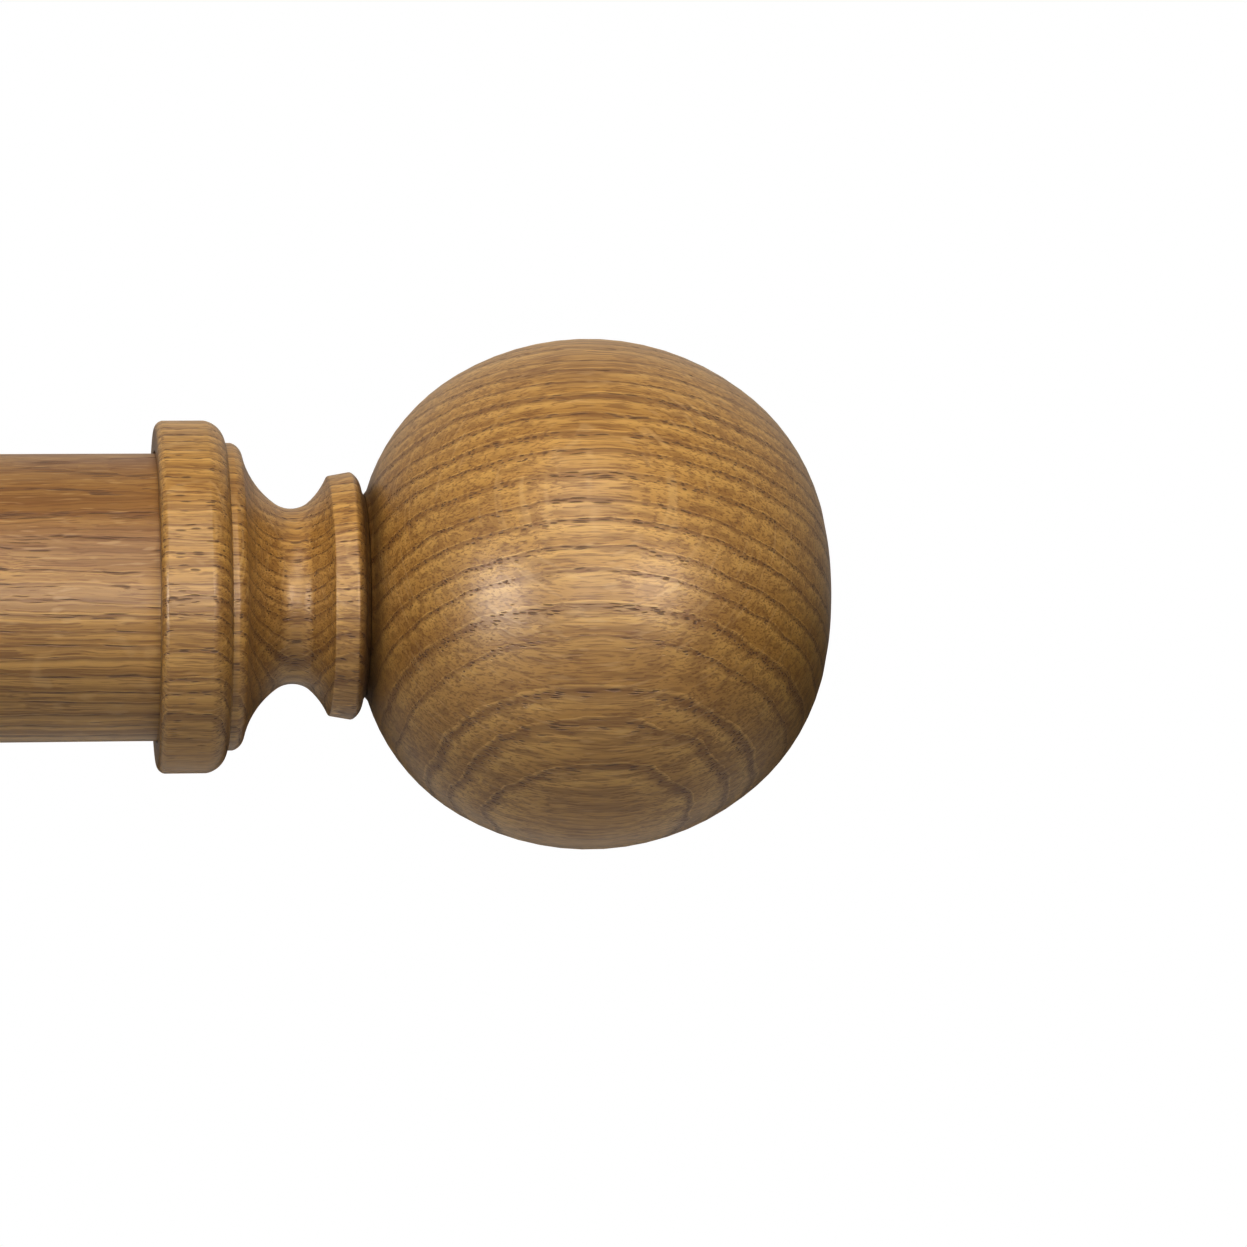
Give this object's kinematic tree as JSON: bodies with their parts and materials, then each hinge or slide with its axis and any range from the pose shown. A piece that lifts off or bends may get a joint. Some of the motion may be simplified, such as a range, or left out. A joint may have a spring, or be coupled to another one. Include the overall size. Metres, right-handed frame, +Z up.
{
  "type": "curtain rod with brackets",
  "caption": "Turned oak curtain pole with ball finials on coved necks, resting in two open-topped turned wall brackets with brass lock screws.",
  "frame": {"origin": "centre of the four wall screw holes, on the wall's face, midway between the two brackets", "axes": "+X along the pole towards the right finial, +Y into the wall, +Z up"},
  "size_m": [1.4264, 0.1398, 0.1018],
  "materials": {
    "oak": "satin clear lacquer",
    "beech": "plain sanded",
    "zinc_steel": "bright zinc plated",
    "brass": "machined, lightly aged",
    "nylon": "natural white, matt",
    "fibre": "vulcanised fibre, matt"
  },
  "bodies": {
    "brackets": {"wall_plate_right": "zinc_steel", "plate_stud_right": "zinc_steel", "rose_right": "oak", "arm_right": "oak", "arm_insert_right": "brass", "arm_dowel_right": "beech", "cup_right": "oak", "lock_bush_right": "brass", "wall_plate_left": "zinc_steel", "plate_stud_left": "zinc_steel", "rose_left": "oak", "arm_left": "oak", "arm_insert_left": "brass", "arm_dowel_left": "beech", "cup_left": "oak", "lock_bush_left": "brass"},
    "pole": {"pole": "oak", "pole_insert_right": "brass", "pole_insert_left": "brass"},
    "finial_washer_right": {"finial_washer_right": "fibre"},
    "finial_right": {"finial_neck_right": "oak", "finial_ball_right": "oak", "ball_dowel_right": "beech", "finial_stud_right": "zinc_steel"},
    "lock_tip_right": {"lock_tip_right": "nylon"},
    "lock_screw_right": {"lock_screw_right": "brass"},
    "finial_washer_left": {"finial_washer_left": "fibre"},
    "finial_left": {"finial_neck_left": "oak", "finial_ball_left": "oak", "ball_dowel_left": "beech", "finial_stud_left": "zinc_steel"},
    "lock_tip_left": {"lock_tip_left": "nylon"},
    "lock_screw_left": {"lock_screw_left": "brass"}
  },
  "joints": [
    {"name": "pole_lift", "type": "slide", "parent": "brackets", "child": "pole", "axis": [0, 0, 1], "range_m": [0, 0.06]},
    {"name": "finial_travel_right", "type": "slide", "parent": "pole", "child": "finial_washer_right", "axis": [1, 0, 0], "range_m": [0, 0.0213]},
    {"name": "finial_turn_right", "type": "hinge", "parent": "finial_washer_right", "child": "finial_right", "pos_m": [0.6, -0.095, 0.012], "axis": [1, 0, 0], "range_deg": [0, 6120]},
    {"name": "lock_travel_right", "type": "slide", "parent": "brackets", "child": "lock_tip_right", "axis": [0, 0, -1], "range_m": [0, 0.00485]},
    {"name": "lock_turn_right", "type": "hinge", "parent": "lock_tip_right", "child": "lock_screw_right", "pos_m": [0.48, -0.095, -0.03], "axis": [0, 0, -1], "range_deg": [0, 2160]},
    {"name": "finial_travel_left", "type": "slide", "parent": "pole", "child": "finial_washer_left", "axis": [-1, 0, 0], "range_m": [0, 0.0213]},
    {"name": "finial_turn_left", "type": "hinge", "parent": "finial_washer_left", "child": "finial_left", "pos_m": [-0.6, -0.095, 0.012], "axis": [-1, 0, 0], "range_deg": [0, 6120]},
    {"name": "lock_travel_left", "type": "slide", "parent": "brackets", "child": "lock_tip_left", "axis": [0, 0, -1], "range_m": [0, 0.00485]},
    {"name": "lock_turn_left", "type": "hinge", "parent": "lock_tip_left", "child": "lock_screw_left", "pos_m": [-0.48, -0.095, -0.03], "axis": [0, 0, -1], "range_deg": [0, 2160]}
  ],
  "couplings": [
    {"joint": "finial_travel_right", "follows": "finial_turn_right", "m_per_rad": 0.00019894},
    {"joint": "lock_travel_right", "follows": "lock_turn_right", "m_per_rad": 0.00012732},
    {"joint": "finial_travel_left", "follows": "finial_turn_left", "m_per_rad": 0.00019894},
    {"joint": "lock_travel_left", "follows": "lock_turn_left", "m_per_rad": 0.00012732}
  ]
}
